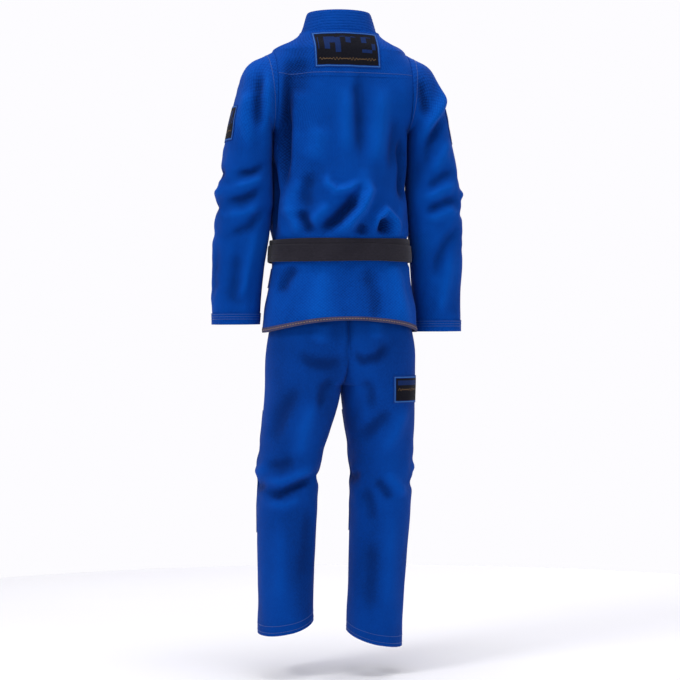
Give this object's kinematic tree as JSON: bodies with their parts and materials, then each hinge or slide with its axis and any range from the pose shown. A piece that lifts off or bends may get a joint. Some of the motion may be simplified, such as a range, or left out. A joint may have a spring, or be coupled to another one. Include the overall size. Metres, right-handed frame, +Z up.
{
  "type": "martial arts uniform",
  "caption": "Grappling uniform as worn: wrap-over jacket with a padded collar, a knotted belt and loose trousers.",
  "frame": {"origin": "the nape of the neck, on the collar's foot line, where the jacket hangs on its wearer's shoulders", "axes": "+Z up along the wearer, -Y the wearer's front, +X the wearer's left"},
  "size_m": [0.6174, 0.3081, 1.544],
  "materials": {
    "pearl_weave": "matt pearl-weave cotton, royal blue",
    "lapel_drill": "matt cotton drill, royal blue, close rows of stitching",
    "hem_tape": "matt twill tape with contrast stitching",
    "collar_foam": "closed-cell foam strip inside the collar",
    "patch_twill": "embroidered twill, navy with a pale blue border",
    "belt_cotton": "matt black cotton, rows of stitching",
    "rank_bar_cotton": "matt red cotton",
    "trouser_twill": "smooth cotton twill, royal blue"
  },
  "bodies": {
    "jacket": {"back_panel": "pearl_weave", "shoulder_yoke": "pearl_weave", "left_front_panel": "pearl_weave", "right_front_panel": "pearl_weave", "back_hem_tape": "hem_tape", "left_front_hem_tape": "hem_tape", "right_front_hem_tape": "hem_tape", "collar_band": "lapel_drill", "collar_core": "collar_foam", "neck_patch": "patch_twill", "left_armpit_gusset": "pearl_weave", "right_armpit_gusset": "pearl_weave", "left_vent_patch": "pearl_weave", "right_vent_patch": "pearl_weave", "belt_inner_turn": "belt_cotton", "belt_outer_turn": "belt_cotton", "belt_knot": "belt_cotton"},
    "left_upper_arm": {"left_upper_sleeve": "pearl_weave", "left_shoulder_patch": "patch_twill"},
    "left_forearm": {"left_lower_sleeve": "pearl_weave", "left_cuff_band": "lapel_drill"},
    "right_upper_arm": {"right_upper_sleeve": "pearl_weave", "right_shoulder_patch": "patch_twill"},
    "right_forearm": {"right_lower_sleeve": "pearl_weave", "right_cuff_band": "lapel_drill"},
    "left_belt_end": {"belt_left_tail": "belt_cotton", "rank_bar": "rank_bar_cotton"},
    "right_belt_end": {"belt_right_tail": "belt_cotton"},
    "trousers": {"trouser_waistband": "trouser_twill", "crotch_gusset": "trouser_twill", "left_seat_panel": "trouser_twill", "right_seat_panel": "trouser_twill", "thigh_patch": "patch_twill", "drawstring_loop_1": "trouser_twill", "drawstring_loop_2": "trouser_twill", "drawstring_loop_3": "trouser_twill", "drawstring_loop_4": "trouser_twill"},
    "left_thigh": {"left_thigh_front": "trouser_twill", "left_thigh_back": "trouser_twill", "left_knee_patch_upper": "trouser_twill"},
    "left_shin": {"left_shin_front": "trouser_twill", "left_calf_back": "trouser_twill", "left_knee_patch_lower": "trouser_twill", "left_hem_band": "trouser_twill"},
    "right_thigh": {"right_thigh_front": "trouser_twill", "right_thigh_back": "trouser_twill", "right_knee_patch_upper": "trouser_twill"},
    "right_shin": {"right_shin_front": "trouser_twill", "right_calf_back": "trouser_twill", "right_knee_patch_lower": "trouser_twill", "right_hem_band": "trouser_twill"}
  },
  "joints": [
    {"name": "left_shoulder_swing", "type": "hinge", "parent": "jacket", "child": "left_upper_arm", "pos_m": [0.165, 0, -0.146], "axis": [-1, 0, 0], "range_deg": [-20, 80]},
    {"name": "left_elbow_bend", "type": "hinge", "parent": "left_upper_arm", "child": "left_forearm", "pos_m": [0.235, 0.004, -0.43], "axis": [-1, 0, 0], "range_deg": [0, 80]},
    {"name": "right_shoulder_swing", "type": "hinge", "parent": "jacket", "child": "right_upper_arm", "pos_m": [-0.165, 0, -0.146], "axis": [-1, 0, 0], "range_deg": [-20, 80]},
    {"name": "right_elbow_bend", "type": "hinge", "parent": "right_upper_arm", "child": "right_forearm", "pos_m": [-0.235, 0.004, -0.43], "axis": [-1, 0, 0], "range_deg": [0, 80]},
    {"name": "left_belt_end_swing", "type": "hinge", "parent": "jacket", "child": "left_belt_end", "pos_m": [0.02772, -0.1412, -0.56604], "axis": [-1, 0, 0], "range_deg": [0, 60]},
    {"name": "right_belt_end_swing", "type": "hinge", "parent": "jacket", "child": "right_belt_end", "pos_m": [-0.02772, -0.1412, -0.56604], "axis": [-1, 0, 0], "range_deg": [0, 60]},
    {"name": "trousers_slip", "type": "slide", "parent": "jacket", "child": "trousers", "axis": [0, 0, -1], "range_m": [0, 0.07]},
    {"name": "left_hip_swing", "type": "hinge", "parent": "trousers", "child": "left_thigh", "pos_m": [0.094, 0, -0.815], "axis": [-1, 0, 0], "range_deg": [-15, 30]},
    {"name": "left_knee_bend", "type": "hinge", "parent": "left_thigh", "child": "left_shin", "pos_m": [0.128, -0.01, -1.065], "axis": [1, 0, 0], "range_deg": [0, 80]},
    {"name": "right_hip_swing", "type": "hinge", "parent": "trousers", "child": "right_thigh", "pos_m": [-0.094, 0, -0.815], "axis": [-1, 0, 0], "range_deg": [-15, 30]},
    {"name": "right_knee_bend", "type": "hinge", "parent": "right_thigh", "child": "right_shin", "pos_m": [-0.103, -0.01, -1.065], "axis": [1, 0, 0], "range_deg": [0, 80]}
  ]
}
